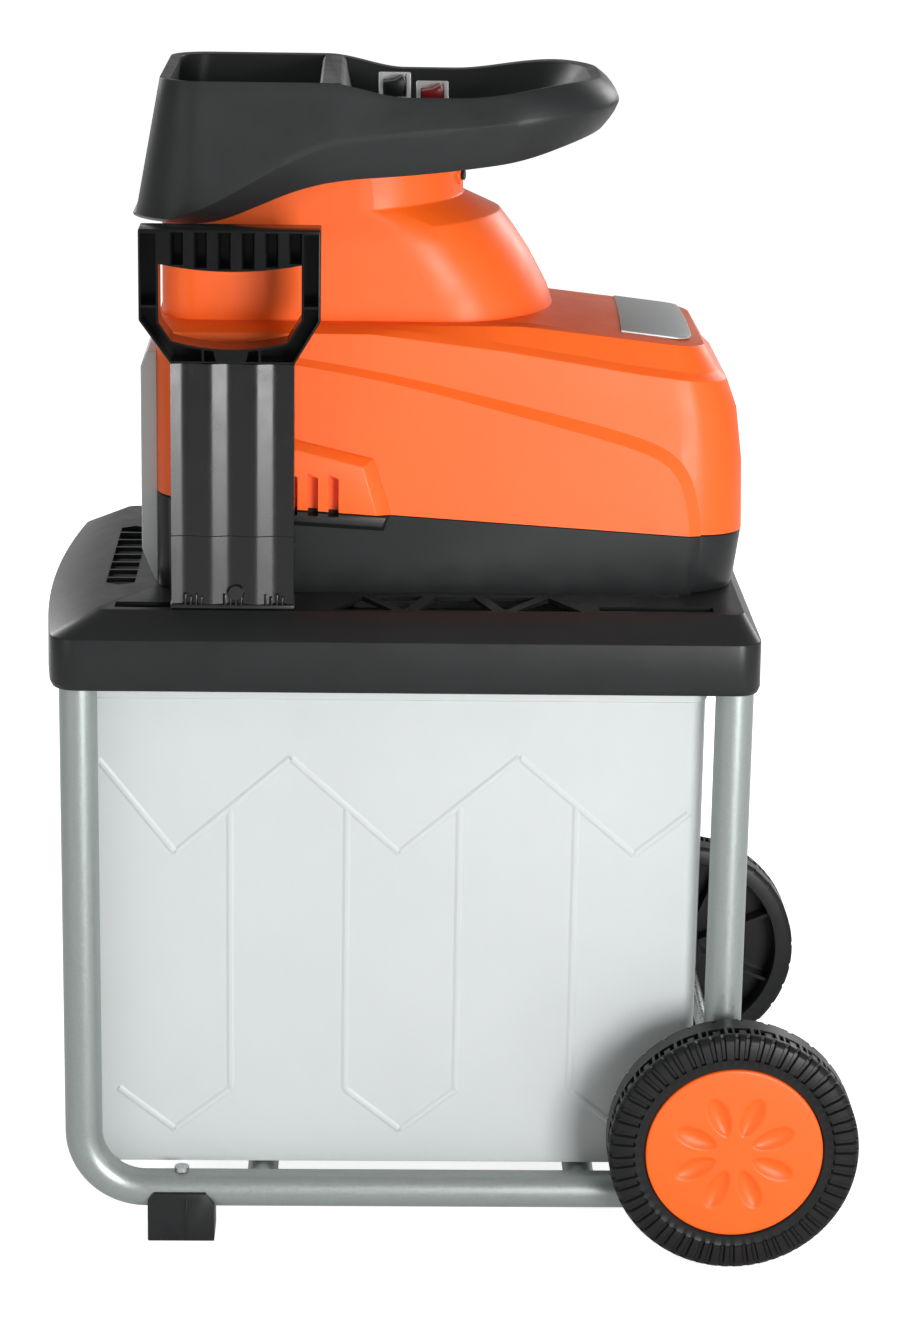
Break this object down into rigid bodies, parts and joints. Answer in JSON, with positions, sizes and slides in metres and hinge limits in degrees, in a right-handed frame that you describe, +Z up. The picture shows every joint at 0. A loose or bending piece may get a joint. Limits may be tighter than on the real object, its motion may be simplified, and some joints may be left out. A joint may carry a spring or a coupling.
{
  "type": "garden shredder",
  "caption": "Electric roller garden shredder with a tray hopper, switch console, push plunger, moulded housing, slide-out chip box and wheeled tube frame.",
  "frame": {"origin": "middle of the bounding box on the floor", "axes": "+Z up, +X towards the wheels, -Y the side with the plunger, -X the side the box is pulled out of"},
  "size_m": [0.655, 0.506, 0.926],
  "materials": {
    "tube_paint": "satin silver paint",
    "black_plastic": "fine matte grain",
    "tyre_plastic": "hard moulded, matte",
    "orange_plastic": "satin moulding",
    "box_plastic": "milky translucent",
    "grey_plastic": "light grey, satin",
    "red_plastic": "gloss",
    "button_plastic": "gloss",
    "bare_plate": "satin, bare",
    "steel": "machined",
    "zinc": "zinc plated",
    "alloy": "die cast",
    "bronze": "sintered bush",
    "winding": "varnished wire",
    "capacitor_can": "moulded can"
  },
  "bodies": {
    "machine": {"right_frame_tube": "tube_paint", "left_frame_tube": "tube_paint", "front_cross_tube": "tube_paint", "rear_cross_tube": "tube_paint", "axle": "zinc", "axle_clips": "zinc", "right_foot": "black_plastic", "left_foot": "black_plastic", "foot_screws": "zinc", "deck": "black_plastic", "frame_bolts": "zinc", "lower_housing": "black_plastic", "upper_housing": "orange_plastic", "housing_screws": "zinc", "feed_cowl": "orange_plastic", "hopper": "black_plastic", "hopper_screws": "black_plastic", "feed_chute": "grey_plastic", "front_panel": "grey_plastic", "roof_plate": "bare_plate", "control_panel": "grey_plastic", "power_inlet": "black_plastic", "cutter_housing": "alloy", "cutter_bush": "bronze", "output_bearings": "steel", "gear_case": "alloy", "countershaft_bearings": "steel", "gear_cover": "alloy", "rotor_bearings": "steel", "stator_core": "steel", "stator_windings": "winding", "rear_shield": "alloy", "motor_bolts": "zinc", "run_capacitor": "capacitor_can", "discharge_chute": "black_plastic", "box_switch": "black_plastic"},
    "right_wheel_body": {"right_wheel": "tyre_plastic", "right_hub_cap": "orange_plastic"},
    "left_wheel_body": {"left_wheel": "tyre_plastic", "left_hub_cap": "orange_plastic"},
    "box": {"collection_box": "box_plastic"},
    "lock": {"box_lock": "red_plastic"},
    "plunger": {"plunger_blade": "black_plastic", "plunger_handle": "black_plastic"},
    "cutter": {"cutting_roller": "steel", "output_shaft": "steel", "output_gear": "steel"},
    "layshaft": {"countershaft": "steel", "counter_gear": "steel"},
    "rotor": {"rotor_shaft": "steel", "rotor_core": "steel", "fan": "black_plastic"},
    "adjuster": {"adjusting_screw": "steel", "adjuster_knob": "black_plastic"},
    "plate": {"pressure_plate": "steel"},
    "power_rocker": {"power_switch": "red_plastic"},
    "direction_rocker": {"direction_switch": "black_plastic"},
    "reset": {"reset_button": "button_plastic"}
  },
  "joints": [
    {"name": "right_wheel_spin", "type": "hinge", "parent": "machine", "child": "right_wheel_body", "pos_m": [0.2275, -0.232, 0.1], "axis": [0, 1, 0], "continuous": true},
    {"name": "left_wheel_spin", "type": "hinge", "parent": "machine", "child": "left_wheel_body", "pos_m": [0.2275, 0.232, 0.1], "axis": [0, 1, 0], "continuous": true},
    {"name": "box_slide", "type": "slide", "parent": "machine", "child": "box", "axis": [-1, 0, 0], "range_m": [0, 0.46]},
    {"name": "lock_slide", "type": "slide", "parent": "box", "child": "lock", "axis": [0, 0, 1], "range_m": [0, 0.012]},
    {"name": "plunger_lift", "type": "slide", "parent": "machine", "child": "plunger", "axis": [0, 0, 1], "range_m": [0, 0.32]},
    {"name": "cutter_spin", "type": "hinge", "parent": "machine", "child": "cutter", "pos_m": [-0.168, 0, 0.594], "axis": [1, 0, 0], "continuous": true},
    {"name": "layshaft_spin", "type": "hinge", "parent": "machine", "child": "layshaft", "pos_m": [-0.04, -0.04151, 0.63159], "axis": [1, 0, 0], "continuous": true},
    {"name": "rotor_spin", "type": "hinge", "parent": "machine", "child": "rotor", "pos_m": [0.08, 0, 0.638], "axis": [1, 0, 0], "continuous": true},
    {"name": "adjuster_turn", "type": "hinge", "parent": "machine", "child": "adjuster", "pos_m": [-0.168, 0.138, 0.606], "axis": [0, 1, 0], "range_deg": [0, 720]},
    {"name": "plate_slide", "type": "slide", "parent": "machine", "child": "plate", "axis": [0, 1, 0], "range_m": [0, 0.0035]},
    {"name": "power_rock", "type": "hinge", "parent": "machine", "child": "power_rocker", "pos_m": [-0.02, -0.016, 0.90941], "axis": [0, 1, 0], "range_deg": [0, 20]},
    {"name": "direction_rock", "type": "hinge", "parent": "machine", "child": "direction_rocker", "pos_m": [-0.05, -0.016, 0.91605], "axis": [0, 1, 0], "range_deg": [0, 20]},
    {"name": "reset_press", "type": "slide", "parent": "machine", "child": "reset", "axis": [0, 0, -1], "range_m": [0, 0.003], "stiffness_N_per_m": 200}
  ],
  "couplings": [
    {"joint": "layshaft_spin", "follows": "cutter_spin", "ratio": -6},
    {"joint": "rotor_spin", "follows": "cutter_spin", "ratio": 36},
    {"joint": "adjuster_turn", "follows": "plate_slide", "rad_per_m": 3590.4}
  ]
}
